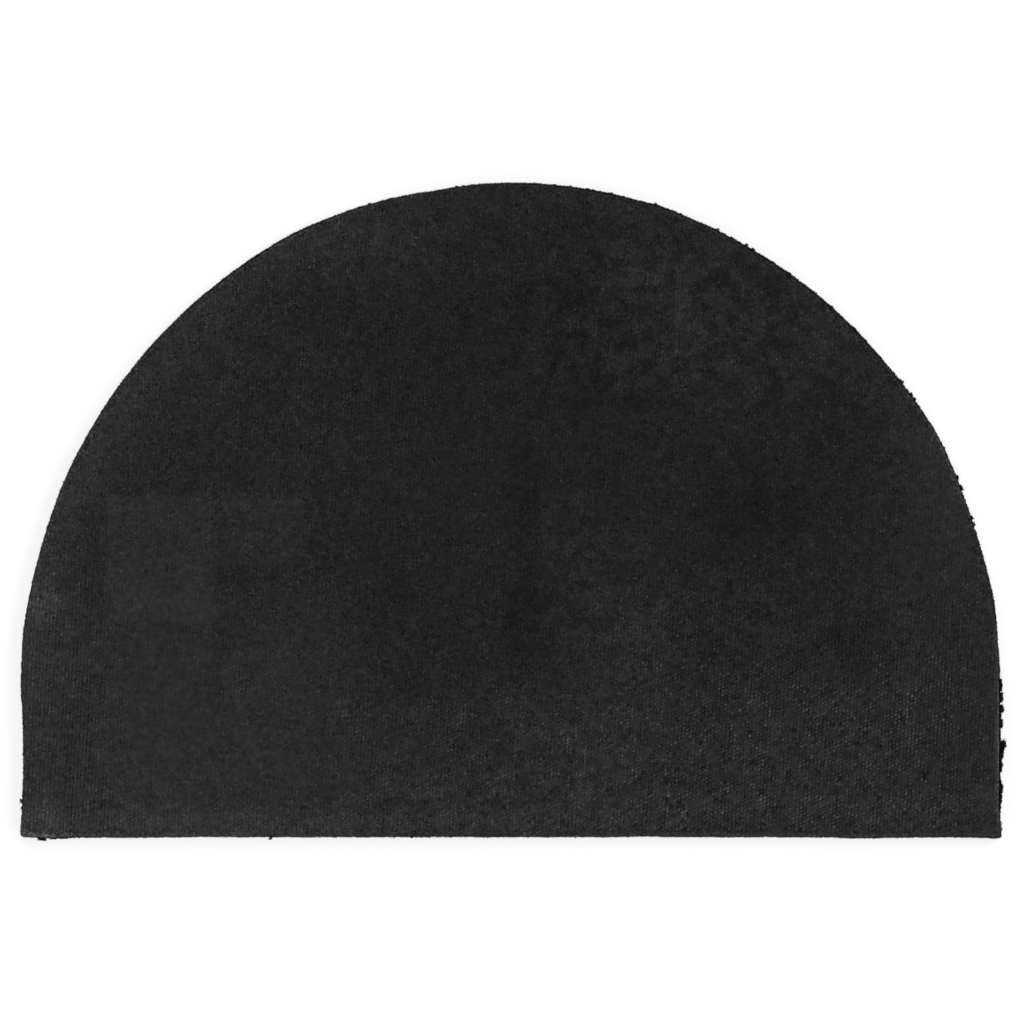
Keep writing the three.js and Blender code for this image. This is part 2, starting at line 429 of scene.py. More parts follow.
def rows_at(rows, column, at):
    """The sum of a table's rows at distances along the rim, which closes on itself."""
    total = np.zeros_like(at, dtype=float)
    for row in rows:
        away = np.abs(at % RIM_LENGTH - row["at"])
        away = np.minimum(away, RIM_LENGTH - away)
        total += row[column] * np.exp(-((away / row["spread"]) ** 2))
    return total


def rim_places(at):
    """Points of the cut edge at distances along the rim, and their outward directions."""
    at = at % RIM_LENGTH
    point = np.zeros((len(at), 2))
    outward = np.zeros((len(at), 2))
    start = 0
    for points, normals in rim_edges():
        along = line_lengths(points)
        here = (at >= start) & (at < start + along[-1])
        for axis in (0, 1):
            point[here, axis] = np.interp(at[here] - start, along, points[:, axis])
            outward[here, axis] = np.interp(at[here] - start, along, normals[:, axis])
        start += along[-1]
    point += outward * rows_at(CUT_ERRORS, "out", at)[:, None]
    point[:, 0] += rows_at(CORNER_SHIFTS, "x", at)
    point[:, 1] += rows_at(CORNER_SHIFTS, "y", at)
    return point, outward


def own_middle():
    """The middle of the cut edge's box, in the mat's own millimetres."""
    close = 0.5
    rim, _ = rim_places(np.arange(0, RIM_LENGTH, close))
    return (rim.min(axis=0) + rim.max(axis=0)) / 2


# Where the mat's own zero lies in the frame, in metres.
CAD_MIDDLE = [(BACKING_BOX[0][axis] + BACKING_BOX[1][axis]) / 2 for axis in (0, 1)]
MIDDLE = np.array(CAD_MIDDLE) - own_middle() * MM


def rim_stations(step):
    """Evenly spaced stations that hit both corners, where the outward direction is the sum
    of both edges' directions, so that an inset moves both edges by the same amount."""
    at = []
    start = 0
    corners = []
    for number, (points, _) in enumerate(rim_edges()):
        # The right side and the straight edge start at a corner, the other two at a shoulder.
        if number in (0, 3):
            corners.append(start)
        length = line_lengths(points)[-1]
        count = round(length / step)
        at.append(start + np.arange(count) * length / count)
        start += length
    at = np.concatenate(at)
    point, outward = rim_places(at)
    for corner in corners:
        here = np.abs(at - corner).argmin()
        outward[here] += outward[here - 1]
    return at, point, outward


def up_the_rim(outward):
    """The directions along the rim, a quarter turn from the outward ones."""
    return np.c_[-outward[:, 1], outward[:, 0]]


def fade_in(inward, start, depth):
    """0 up to start inside the rim, and 1 from depth further in."""
    return ((inward - start) / depth).clip(0, 1)


def fade_out(inward, depth):
    """1 at the rim, and next to nothing at twice the depth inside it."""
    return np.exp(-((inward / depth) ** 2))


def waves(at, lengths, size, seed):
    """Smooth unevenness along a line: a few waves of given lengths with seeded phases."""
    phases = np.random.default_rng(seed).uniform(0, 2 * math.pi, len(lengths))
    total = sum(np.sin(2 * math.pi * at / long + phase) for long, phase in zip(lengths, phases))
    return size * total / math.sqrt(len(lengths))


def ripples(points, lengths, size, seed):
    """Smooth unevenness over an area, from waves in seeded directions."""
    draw = np.random.default_rng(seed)
    total = np.zeros(len(points))
    for long in lengths:
        turn = draw.uniform(0, 2 * math.pi)
        phase = draw.uniform(0, 2 * math.pi)
        run = points[:, 0] * math.cos(turn) + points[:, 1] * math.sin(turn)
        total += np.sin(2 * math.pi * run / long + phase)
    return size * total / math.sqrt(len(lengths))


# Mesh making

def to_metres(points):
    """Points from the mat's own millimetres to the frame's metres."""
    placed = np.asarray(points, float) * MM
    placed[:, :2] += MIDDLE
    return placed


def add_object(name, data):
    """A new object in the scene, from its mesh, lamp or camera."""
    made = bpy.data.objects.new(name, data)
    bpy.context.scene.collection.objects.link(made)
    return made


def make_piece(name, points, triangles, slot, attributes, smooth=True):
    """A mesh object of triangles that rides on the mat, with number attributes on its points."""
    mesh = bpy.data.meshes.new(name)
    mesh.vertices.add(len(points))
    mesh.vertices.foreach_set("co", to_metres(points).ravel())
    triangles = np.asarray(triangles, np.int32)
    mesh.loops.add(triangles.size)
    mesh.loops.foreach_set("vertex_index", triangles.ravel())
    mesh.polygons.add(len(triangles))
    mesh.polygons.foreach_set("loop_start", np.arange(len(triangles), dtype=np.int32) * 3)
    mesh.update(calc_edges=True)
    mesh.polygons.foreach_set("use_smooth", np.full(len(triangles), smooth))
    for label, values in attributes.items():
        layer = mesh.attributes.new(label, "FLOAT", "POINT")
        layer.data.foreach_set("value", np.asarray(values, np.float32))
    piece = add_object(name, mesh)
    piece.data.materials.append(MATERIALS[slot])
    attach(piece, "root")
    return piece


def depth_inside(points, stations):
    """How far each point lies inside the cut edge, and its distance along the rim."""
    at, rim, outward = stations
    unit = outward / np.linalg.norm(outward, axis=1)[:, None]
    tree = KDTree(len(rim))
    for index, (x, y) in enumerate(rim):
        tree.insert((x, y, 0), index)
    tree.balance()
    nearest = np.array([tree.find((x, y, 0))[1] for x, y in points])
    inward = ((rim[nearest] - points) * unit[nearest]).sum(axis=1)
    return inward, at[nearest]


def lattice(basis, margin, stations):
    """The corners of a lattice's cells, which cells lie wholly inside the rim by more than
    margin, and the lattice number of the first corner."""
    half_x, half_y = LATTICE_AREA
    area = np.array([(x, y) for x in (-half_x, half_x) for y in (-half_y, half_y)])
    numbers = area @ np.linalg.inv(basis)
    low = np.floor(numbers.min(axis=0)).astype(int)
    columns, rows = np.ceil(numbers.max(axis=0)).astype(int) - low
    i, j = np.meshgrid(np.arange(columns + 1), np.arange(rows + 1), indexing="ij")
    corner = (np.stack([i, j], axis=-1) + low - 0.5) @ basis
    limit = np.array((HALF_WIDTH, -FRONT_Y)) + RIM_ALLOWANCE
    near = (np.abs(corner) < limit).all(axis=-1)
    inside = np.zeros(near.shape, bool)
    inside[near] = depth_inside(corner[near], stations)[0] > margin
    cell = inside[:-1, :-1] & inside[1:, :-1] & inside[1:, 1:] & inside[:-1, 1:]
    return corner, cell, low


def plain_triangles(points, loop_count, ring):
    """Triangles that fill the loop of the first points, and keep to the outer sides of the
    cells whose corner numbers are in ring."""
    sides = np.concatenate([ring[:, [k, (k + 1) % 4]] for k in range(4)])
    ordered = np.sort(sides, axis=1)
    _, first, count = np.unique(ordered, axis=0, return_index=True, return_counts=True)
    border = sides[first[count == 1]]
    ids = np.concatenate([np.arange(loop_count), np.unique(border)])
    place = {number: k for k, number in enumerate(ids)}
    edges = [(place[a], place[b]) for a, b in border]
    loop = list(range(loop_count))
    whole_hull = 0
    same_place = 1e-6
    _, _, faces, origin, _, source = delaunay_2d_cdt(
        [tuple(p) for p in points[ids]], edges, [loop], whole_hull, same_place, True
    )
    kept = [face for face, found in zip(faces, source) if found]
    back = np.array([ids[known[0]] for known in origin])
    return back[np.array(kept)]


def dotted_sheet(across, along, loop, margin, stations):
    """A flat sheet of small pyramids inside a closed loop of points. Each cell of the lattice
    has one peak in its middle; the band out to the loop is plain triangles.

    Returns the points (the loop's first), the triangles, and which points are peaks."""
    basis = np.array([across, along])
    corner, cell, low = lattice(basis, margin, stations)
    columns, rows = cell.shape
    used = np.zeros(corner.shape[:2], bool)
    for di, dj in CELL_CORNERS:
        used[di : di + columns, dj : dj + rows] |= cell
    first_peak = len(loop) + used.sum()
    number = np.full(used.shape, -1)
    number[used] = np.arange(len(loop), first_peak)
    i, j = np.nonzero(cell)
    ring = np.stack([number[i + di, j + dj] for di, dj in CELL_CORNERS], axis=1)
    peaks = first_peak + np.arange(len(i))
    pyramids = [np.stack([ring[:, k], ring[:, (k + 1) % 4], peaks], axis=1) for k in range(4)]
    middle_of_cell = (np.stack([i, j], axis=1) + low) @ basis
    points = np.concatenate([loop, corner[used], middle_of_cell])

    band = plain_triangles(points, len(loop), ring)
    centre = points[band].mean(axis=1)
    at = np.floor(centre @ np.linalg.inv(basis) - low + 0.5).astype(int)
    at = np.clip(at, 0, np.array(cell.shape) - 1)
    band = band[~cell[at[:, 0], at[:, 1]]]
    one, two, three = (points[band[:, k]] for k in range(3))
    upside_down = np.cross(two - one, three - one) < 0
    band[upside_down] = band[upside_down][:, ::-1]
    is_peak = np.arange(len(points)) >= first_peak
    return points, np.concatenate([*pyramids, band]), is_peak


def walls(starts, count):
    """Triangles between closed rings of count points, whose first numbers are given."""
    k = np.arange(count)
    after = (k + 1) % count
    triangles = []
    for low, high in zip(starts[:-1], starts[1:]):
        triangles.append(np.stack([low + k, low + after, high + after], axis=1))
        triangles.append(np.stack([low + k, high + after, high + k], axis=1))
    return np.concatenate(triangles)


# Materials

class Shader:
    """Builds a node material: each call adds one node and returns its output."""

    def __init__(self, name):
        self.material = bpy.data.materials.new(name)
        self.material.use_nodes = True
        self.nodes = self.material.node_tree.nodes
        self.links = self.material.node_tree.links
        self.surface = self.nodes["Principled BSDF"]

    def feed(self, socket, value):
        """Gives a socket another node's output, or a plain value."""
        if isinstance(value, bpy.types.NodeSocket):
            self.links.new(value, socket)
        elif value is not None:
            socket.default_value = value

    def node(self, kind, inputs=None, output=0, **settings):
        made = self.nodes.new(kind)
        for key, value in settings.items():
            setattr(made, key, value)
        for key, value in (inputs or {}).items():
            self.feed(made.inputs[key], value)
        return made.outputs[output]

    def math(self, operation, a, b=None, c=None):
        return self.node("ShaderNodeMath", {0: a, 1: b, 2: c}, operation=operation)

    def times(self, a, b):
        return self.math("MULTIPLY", a, b)

    def plus(self, a, b):
        return self.math("ADD", a, b)

    def number(self, name):
        """A number attribute of the mesh's points."""
        return self.node("ShaderNodeAttribute", output="Fac", attribute_name=name)

    def millimetres(self):
        """Places in the mat's own millimetres."""
        place = self.node("ShaderNodeTexCoord", output="Object")
        kind = "ShaderNodeVectorMath"
        middle = self.node(kind, {0: place, 1: (*MIDDLE, 0)}, operation="SUBTRACT")
        return self.node(kind, {0: middle, "Scale": 1 / MM}, operation="SCALE")

    def noise(self, place, size, detail=2.0, roughness=0.5, distortion=0.0):
        """Cloudy noise whose features are about size millimetres across."""
        inputs = {"Vector": place, "Scale": 1 / size, "Detail": detail}
        inputs |= {"Roughness": roughness, "Distortion": distortion}
        return self.node("ShaderNodeTexNoise", inputs)

    def ramp(self, value, low, high, to_low=0.0, to_high=1.0):
        """value from low to high becomes to_low to to_high, eased at both ends."""
        inputs = {"Value": value, "From Min": low, "From Max": high}
        inputs |= {"To Min": to_low, "To Max": to_high}
        return self.node("ShaderNodeMapRange", inputs, interpolation_type="SMOOTHSTEP")

    def uneven(self, noise, size):
        """Noise about zero, as strong as size."""
        return self.times(self.math("SUBTRACT", noise, 0.5), size)

    def finish(self, inputs):
        """Feeds the surface's named inputs and returns the material."""
        for name, value in inputs.items():
            self.feed(self.surface.inputs[name], value)
        return self.material

    def mix(self, factor, a, b, blend_type="MIX"):
        """Two colours mixed. They are the node's sockets 6 and 7, and its output 2."""
        inputs = {"Factor": factor, 6: a, 7: b}
        settings = {"data_type": "RGBA", "blend_type": blend_type}
        return self.node("ShaderNodeMix", inputs, output=2, **settings)

    def grey(self, value):
        return self.node("ShaderNodeCombineColor", {"Red": value, "Green": value, "Blue": value})


# How light the bare rubber and the dust on it are.
RUBBER_LEVEL = 0.0138
DUST_LEVEL = 0.16

# How much the marks lighten or darken the rubber, as shares of its level. On the imprint's dots
# and columns this is rubbed dust and wear, with a painted highlight on their tops and painted
# shade in the hollows between them.
COLUMN_WEAR_AND_SHADING = 0.2
DOT_WEAR_AND_SHADING = 0.62
# Below this share of a dot's height, in the hollows, the rubber is darkened as painted shade.
DOT_MIDDLE = 0.35  # what share of a dot's height has the usual tone
GRAIN_TONE = 3.0
CRUMB_TONE = 1.5
TORN_TONE = 8.0
TORN_DARKER = 0.3
DARKEST_MARK = -0.7
DARKEST_PATCH = 0.3

# How thickly dust covers its specks and the scuffed edge, which also carries a painted
# highlight, and in millimetres how far apart the specks lie and how rough the skin is.
SPECK_COVER = 0.42
SCUFF_AND_HIGHLIGHT_COVER = 0.25
SPECK_SPACING = 5.5
SKIN_RELIEF = 0.07


def patch_level(s, place):
    """The patches and bands, worn and dusty in places and in part painted light and shade,
    broken up by clouds of dust and wear.
    """
    cloud = s.noise(place, 15, detail=6, roughness=0.62, distortion=0.4)
    blotch = s.ramp(cloud, 0.38, 0.62, -0.24, 0.28)
    drift = s.ramp(s.noise(place, 75, detail=5, roughness=0.6), 0.3, 0.7, -0.05, 0.05)
    clouds = s.plus(s.times(blotch, s.number("mottle")), drift)
    broad = s.plus(s.plus(1.0, s.number("tone")), clouds)
    return s.times(s.math("MAXIMUM", broad, DARKEST_PATCH), RUBBER_LEVEL)


def grain_tone(s, place, rub):
    """The fine grain and crumbs of the rubber, coarser where it is torn."""
    patchy = s.math("MULTIPLY_ADD", rub, 0.65, 0.35)
    grain = s.uneven(s.noise(place, 1.7, detail=3, roughness=0.7), GRAIN_TONE)
    grain = s.times(s.times(grain, patchy), s.math("SUBTRACT", 1.0, s.number("smooth")))
    crumb = s.uneven(s.noise(place, 4.5, detail=3, roughness=0.7), CRUMB_TONE)
    torn = s.uneven(s.noise(place, 1.7, detail=3, roughness=0.75), TORN_TONE)
    torn = s.times(s.math("SUBTRACT", torn, TORN_DARKER), s.number("torn"))
    fine = s.math("MAXIMUM", s.plus(s.plus(grain, crumb), torn), DARKEST_MARK)
    # Light specks stand out further from the ground than dark ones do.
    light = s.math("MAXIMUM", fine, 0.0)
    return s.plus(fine, s.times(light, light))


def imprint_wear_and_shading(s, place, rub):
    """The columns and dots of the imprint, rubbed unevenly: lighter on top from dust and a
    painted highlight, darker in the hollows between as painted shade.
    """
    across = np.linalg.inv(np.array([DOT_ACROSS, DOT_ALONG]))[:, 0] * 2 * math.pi
    inputs = {0: place, 1: (*across, 0)}
    turn = s.node("ShaderNodeVectorMath", inputs, output=1, operation="DOT_PRODUCT")
    # Lighter along the columns and darker in the grooves between: rubbed dust, and painted shade
    # in the grooves.
    column = s.times(s.math("COSINE", turn), s.number("ribs"))
    # Lighter on the dots' tops from dust and a painted highlight, darker in the hollows round
    # them as painted shade.
    dot = s.times(s.math("SUBTRACT", s.number("imprint"), DOT_MIDDLE), s.number("dots"))
    marks = s.plus(s.times(column, COLUMN_WEAR_AND_SHADING), s.times(dot, DOT_WEAR_AND_SHADING))
    return s.math("MAXIMUM", s.times(marks, rub), DARKEST_MARK)


def with_specks(s, place, level):
    """The level with pits, with specks of dust in some of its cells, and with scuffs, which are
    partly a painted highlight on the rim.
    """
    cells = s.nodes.new("ShaderNodeTexVoronoi")
    s.feed(cells.inputs["Vector"], place)
    cells.inputs["Scale"].default_value = 1 / SPECK_SPACING
    chance = s.node("ShaderNodeSeparateColor", {"Color": cells.outputs["Color"]})
    small = s.ramp(cells.outputs["Distance"], 0.05, 0.14, 1.0, 0.0)
    speck = s.times(small, s.ramp(chance, 0.85, 1.0))
    pit = s.times(small, s.ramp(chance, 0.05, 0.25, 0.5, 0.0))
    flakes = s.ramp(s.noise(place, 1.9, detail=3), 0.4, 0.62, 0.15, 1.2)
    # The scuffs lighten the rim partly as a painted highlight.
    scuff = s.times(s.number("scuff"), flakes)
    dust = s.plus(s.times(speck, SPECK_COVER), s.times(scuff, SCUFF_AND_HIGHLIGHT_COVER))
    level = s.times(level, s.math("SUBTRACT", 1.0, pit))
    return s.plus(level, s.times(dust, DUST_LEVEL))


def backing_rubber():
    """Matt black rubber: cloth imprint rubbed lighter on its dots and columns, with a painted
    highlight on them and painted shade in the hollows between, dust in clouds, specks.
    """
    s = Shader("backing_rubber")
    place = s.millimetres()
    # How strongly the grain and the imprint's marks show, the marks with their painted highlight
    # and shade.
    rub = s.ramp(s.noise(place, 6, detail=4, roughness=0.7), 0.36, 0.64, 0.05, 1.9)
    level = patch_level(s, place)
    level = s.times(level, s.plus(1.0, grain_tone(s, place, rub)))
    level = s.times(level, s.plus(1.0, imprint_wear_and_shading(s, place, rub)))
    colour = s.grey(with_specks(s, place, level))
    rough = s.ramp(s.noise(place, 9, detail=4), 0.3, 0.7, 0.8, 0.95)
    skin = s.times(s.noise(place, 0.55, detail=3, roughness=0.7), SKIN_RELIEF * MM)
    bump = s.node("ShaderNodeBump", {"Height": skin, "Strength": 1.0, "Distance": 1.0})
    surface = {"Base Color": colour, "Roughness": rough, "Normal": bump}
    return s.finish(surface | {"Specular IOR Level": 0.06})


# The fibre is darker than black coir, as painted shade: round the rim it lies in the backing's
# shade.
FIBRE_AND_SHADE_LEVEL = 0.003
# Dust lightens the fibre; on the nubs high against the backing this is partly painted light.
FIBRE_DUST_AND_LIGHT_LEVEL = 0.12
WHITE = (1, 1, 1, 1)
WARM_WHITE = (1.06, 1.0, 0.93, 1)


def coir_pile():
    """Dry black fibre, darkened further as painted shade: each one a little different, duller
    and dusty where it is exposed, the dust on nubs high against the backing partly painted
    light.
    """
    s = Shader("coir_pile")
    place = s.millimetres()
    dust = s.number("dust")
    streak = s.ramp(s.noise(place, 0.5, detail=3, roughness=0.7), 0.3, 0.7, 0.7, 1.3)
    level = s.times(s.times(s.number("shade"), streak), FIBRE_AND_SHADE_LEVEL)
    level = s.plus(level, s.times(dust, FIBRE_DUST_AND_LIGHT_LEVEL))
    tint = s.mix(dust, WARM_WHITE, WHITE)
    colour = s.mix(1.0, tint, s.grey(level), blend_type="MULTIPLY")
    rough = s.ramp(streak, 0.7, 1.3, 0.62, 0.82)
    return s.finish({"Base Color": colour, "Roughness": rough, "Specular IOR Level": 0.12})


FLOOR_GLOW = 0.67


def floor_paper():
    """Plain white paper, bright enough to read as white."""
    s = Shader("floor_paper")
    place = s.millimetres()
    tone = s.ramp(s.noise(place, 400, detail=2), 0.3, 0.7, 0.39, 0.41)
    surface = {"Base Color": s.grey(tone), "Roughness": 0.9, "Specular IOR Level": 0.1}
    return s.finish(surface | {"Emission Color": WHITE, "Emission Strength": FLOOR_GLOW})


MATERIALS = {"backing_rubber": backing_rubber(), "coir_pile": coir_pile()}


# The backing

def patch_value(points, column):
    """The sum of a column of the patches at points on the backing."""
    total = np.zeros(len(points))
    for row in PATCHES:
        across = np.abs(points[:, 0] - row["x"]) / row["wide"]
        along = np.abs(points[:, 1] - row["y"]) / row["deep"]
        away = across ** row["edge"] + along ** row["edge"]
        total += row.get(column, 0) * np.exp(-away)
    return total


# The backing's rim from its underside up: how far past the cut edge and how high, as a
# share of the thickness, each ring of points lies, how much of the fray it takes, and how
# much of the scuffing and its painted highlight. The last ring is where the top starts, which
# has scuffs of its own.
EDGE_PROFILE = table(
    "past, height, fray, scuff",
    (-0.5, 0, 0.4, 0),
    (-0.1, 0.12, 0.7, 0.3),
    (0.05, 0.45, 1, 0.8),
    (0, 0.8, 1, 1),
    (-0.22, 0.95, 0.9, 1),
    (-0.6, 1, 0.6, 1),
    (-1.1, 0.95, 0.3, 0),
)
EDGE_LIFT = 0.12


def cut_edge(stations):
    """Rings of points up the cut edge of the backing, ragged where it is frayed."""
    at, rim, outward = stations
    count = len(at)
    fray = USUAL_FRAY + rows_at(FRAYS, "size", at)
    slow = waves(at, (31, 17, 11), size=0.09, seed=3)
    slow -= USUAL_DRAWN_IN + rows_at(DRAWN_IN, "size", at)
    rings = []
    for row in EDGE_PROFILE:
        ragged = fray * random.normal(0, 1, count).clip(-2, 2) * row["fray"]
        place = rim + outward * (row["past"] + slow + ragged)[:, None]
        height = BACKING_UNDERSIDE + row["height"] * BACKING_THICKNESS
        lift = EDGE_LIFT * fray * random.normal(0, 1, count)
        rings.append(np.c_[place, height + lift * (row["height"] > 0)])
    return rings


def top_height(flat, is_peak, dots, strength):
    """How high the points of the top lie: dots on an uneven ground."""
    swell = ripples(flat, (70, 43, 31, 23, 150), size=0.12, seed=5)
    relief = (0.7 + 0.25 * dots + swell).clip(0.3, 1.3)
    ground = BACKING_TOP - GROUND_DEPTH
    ground += ripples(flat, (310, 190, 120, 75, 47), size=0.07, seed=8)
    grain = GROUND_GRAIN * random.normal(0, 1, len(flat))
    return ground + np.where(is_peak, DOT_HEIGHT * relief * strength, grain)


def top_wear_and_light(flat, inward, near):
    """How worn, dusty and torn each point of the top is, with the painted light and shade in its
    tone and the painted highlight in its scuffs. near is where it is along the rim.
    """
    bands = np.zeros(len(flat))
    for row in RIM_BANDS:
        bands += rows_at([row], "tone", near) * fade_out(inward, row["depth"])
    return {
        "tone": patch_value(flat, "tone") + bands,
        "mottle": (USUAL_MOTTLE + patch_value(flat, "mottle")).clip(0, 1.3),
        "ribs": (USUAL_RIBS + patch_value(flat, "ribs")).clip(0.05, 2.2),
        "scuff": rows_at(SCUFFS_AND_HIGHLIGHTS, "size", near) * fade_out(inward, SCUFF_AND_HIGHLIGHT_DEPTH),
        "torn": rows_at(TORN, "size", near) * fade_out(inward, TORN_DEPTH),
        "smooth": patch_value(flat, "smooth").clip(0, 0.6),
    }


def edge_wear_and_light(at, tone):
    """The same for the rings of the cut edge, which take their tone from the top's rim."""
    rings = len(EDGE_PROFILE) - 1
    share = np.repeat([row["scuff"] for row in EDGE_PROFILE[:-1]], len(at))
    return {
        "tone": np.tile(tone, rings),
        "scuff": rows_at(SCUFFS_AND_HIGHLIGHTS, "size", np.tile(at, rings)) * share,
        "torn": np.full(rings * len(at), CUT_TORN),
    }


def make_backing():
    """The backing: a cut edge, a top with the moulded imprint and a plain underside."""
    stations = rim_stations(step=1.7)
    rings = cut_edge(stations)
    count = len(rings[0])
    loop = rings[-1][:, :2]
    margin = IMPRINT_MARGIN - EDGE_PROFILE[-1]["past"]
    flat, top, is_peak = dotted_sheet(DOT_ACROSS, DOT_ALONG, loop, margin, stations)
    inward, near = depth_inside(flat, stations)
    dots = (USUAL_DOTS + patch_value(flat, "dots")).clip(0.05, 3)
    dots *= fade_in(inward, start=2, depth=3)
    strength = (1 + DOT_DIFFERENCE * random.normal(0, 1, len(flat))).clip(0.1, 2)
    shift = DOT_SHIFT * random.normal(0, 1, (len(flat), 2)).clip(-2, 2)
    shift[:count] = 0
    placed = flat + shift * fade_in(inward, start=2, depth=4)[:, None]
    height = top_height(flat, is_peak, dots, strength)
    height[:count] = rings[-1][:, 2]

    hub = [[0, SHOULDER_Y, BACKING_UNDERSIDE]]
    points = np.concatenate([*rings[:-1], np.c_[placed, height], hub])
    top_start = (len(rings) - 1) * count
    k = np.arange(count)
    under = np.stack([np.full(count, len(points) - 1), (k + 1) % count, k], axis=1)
    edge = walls([number * count for number in range(len(rings))], count)
    triangles = np.concatenate([edge, top + top_start, under])

    # wear holds the tone with its painted light and shade, and the scuffs with their painted
    # highlight.
    wear = top_wear_and_light(flat, inward, near)
    wear["imprint"] = np.where(is_peak, strength, 0)
    wear["dots"] = dots
    on_edge = edge_wear_and_light(stations[0], wear["tone"][:count])
    none = np.zeros(top_start)
    values = {}
    for name, on_top in wear.items():
        values[name] = np.concatenate([on_edge.get(name, none), on_top, [0]])
    return make_piece("backing_sheet", points, triangles, "backing_rubber", values)


# The pile

def strands(lines, radii):
    """Three-sided tapered fibres along lines of points, closed at the root and ending in a
    point. lines is fibres by points by 3, and radii is fibres by points but the last."""
    fibres, knots, _ = lines.shape
    rings = knots - 1
    direction = lines[:, -1] - lines[:, 0]
    direction /= np.linalg.norm(direction, axis=1)[:, None]
    no_fibre_runs_this_way = (0.37, 0.61, 0.7)
    aside = np.cross(direction, no_fibre_runs_this_way)
    aside /= np.linalg.norm(aside, axis=1)[:, None]
    other = np.cross(direction, aside)
    spin = random.uniform(0, 2 * math.pi, fibres)
    points = np.zeros((fibres, rings * 3 + 1, 3))
    for ring in range(rings):
        for side in range(3):
            turn = spin + side * 2 * math.pi / 3
            arm = aside * np.cos(turn)[:, None] + other * np.sin(turn)[:, None]
            points[:, ring * 3 + side] = lines[:, ring] + arm * radii[:, ring, None]
    points[:, -1] = lines[:, -1]
    one = [(0, 2, 1)]
    for ring in range(rings - 1):
        for side in range(3):
            a, b = ring * 3 + side, ring * 3 + (side + 1) % 3
            one += [(a, b, b + 3), (a, b + 3, a + 3)]
    last = (rings - 1) * 3
    one += [(last + side, last + (side + 1) % 3, rings * 3) for side in range(3)]
    one = np.array(one)
    triangles = one[None] + (np.arange(fibres) * (rings * 3 + 1))[:, None, None]
    return points.reshape(-1, 3), triangles.reshape(-1, 3)


def fibre_piece(name, mesh, shade, dust):
    """A piece of separate fibres, with a shade and an amount of dust for each."""
    points, triangles = mesh
    corners = len(points) // len(shade)
    values = {"shade": np.repeat(shade, corners), "dust": np.repeat(dust, corners)}
    return make_piece(name, points, triangles, "coir_pile", values, smooth=False)


def brush_line(at, rim, outward):
    """The line round the rim that the brush is set out from."""
    return rim + outward * (USUAL_MORE_OUT + rows_at(MORE_OUT, "out", at))[:, None]


def brush_rows():
    """Where the fibres of the brush stand along the rim, how far inside it, and their lean."""
    at, inset, lean = [], [], []
    for row in FIBRE_ROWS:
        count = int(RIM_LENGTH / row["spacing"])
        at.append((np.arange(count) + random.uniform(-0.45, 0.45, count)) * row["spacing"])
        inset.append(row["inset"] + random.normal(0, 0.18, count))
        lean.append(np.full(count, row["lean"]))
    at = np.concatenate(at) % RIM_LENGTH
    order = np.argsort(at)
    return at[order], np.concatenate(inset)[order], np.concatenate(lean)[order]


def rim_brush():
    """The fibres round the rim, which lean out a little from their roots."""
    at, inset, lean = brush_rows()
    count = len(at)
    rim, outward = rim_places(at)
    along = up_the_rim(outward)
    rim = brush_line(at, rim, outward)
    out = lean + random.normal(0, 0.28, count)
    out += waves(at, (47, 23, 9), size=0.16, seed=6)
    side = random.normal(0, 0.8, count) + waves(at, (13, 29), size=0.5, seed=7)
    least_inset = 0.15
    root = rim - outward * inset.clip(least_inset)[:, None]
    tip = root + outward * out[:, None] + along * side[:, None]
    middle = root + outward * (0.72 * out)[:, None] + along * (0.8 * side)[:, None]
    middle += outward * random.normal(0, 0.1, count)[:, None]
    tip_z = np.abs(random.normal(0, 0.45, count)).clip(0, 1.6)
    top_z = BACKING_UNDERSIDE + ROOT_DEPTH
    middle_z = 0.3 * top_z + random.normal(0, 0.5, count)
    starts = np.c_[root, np.full(count, top_z)]
    lines = np.stack([starts, np.c_[middle, middle_z], np.c_[tip, tip_z]], axis=1)
    thick = FIBRE_RADIUS * random.uniform(0.75, 1.45, count)
    radii = np.stack([thick, thick * 1.05], axis=1)
    shade = random.uniform(0.6, 1.5, count)
    bounds = np.linspace(0, count, RIM_PIECES + 1).astype(int)
    for number in range(RIM_PIECES):
        part = slice(bounds[number], bounds[number + 1])
        mesh = strands(lines[part], radii[part])
        fibre_piece(f"pile_rim_{number + 1}", mesh, shade[part], np.zeros(len(shade[part])))


def fan(at, reach, width, fibres, low, high=12, swing=0, skew=0):
    """Lines of fibres that stick out past the cut edge in a blunt tuft and curl at the tips.
    low and high are the heights between which they start."""
    knots = 5
    across = random.uniform(-1, 1, fibres)
    rim, outward = rim_places(at + across * width / 2)
    along = up_the_rim(outward)
    run = np.linspace(0, 1, knots)[None, :]
    blunt = (1 - across**6) ** 0.5 * (1 + skew * across) / (1 + abs(skew))
    blunt *= 1 + waves(at + across * width / 2, (2.3, 3.9, 1.4), size=0.12, seed=4)
    far = reach * blunt * random.uniform(0.6, 1.0, fibres) ** 0.4
    start = -random.uniform(0.6, 1.8, fibres)[:, None]
    curl = random.uniform(0.7, 1.15, fibres)[:, None] * math.pi / 2
    furthest = np.sin(np.minimum(curl, 1.5))
    out = start + (far[:, None] - start) * np.sin(run * curl) / furthest
    sway = random.normal(swing, 0.7, fibres)[:, None]
    aside = sway * 0.45 * far[:, None] * run**2
    aside += random.normal(0, 0.12, (fibres, knots))
    height = random.uniform(low, high, fibres)[:, None]
    height = height + random.normal(0, 0.4, (fibres, knots))
    droop = random.uniform(0, 2.5, fibres)[:, None] * run**1.5
    z = (height - droop).clip(0.35, BACKING_UNDERSIDE - 0.3)
    x, y = (rim[:, [n]] + outward[:, [n]] * out + along[:, [n]] * aside for n in (0, 1))
    return np.stack([x, y, z], axis=2)


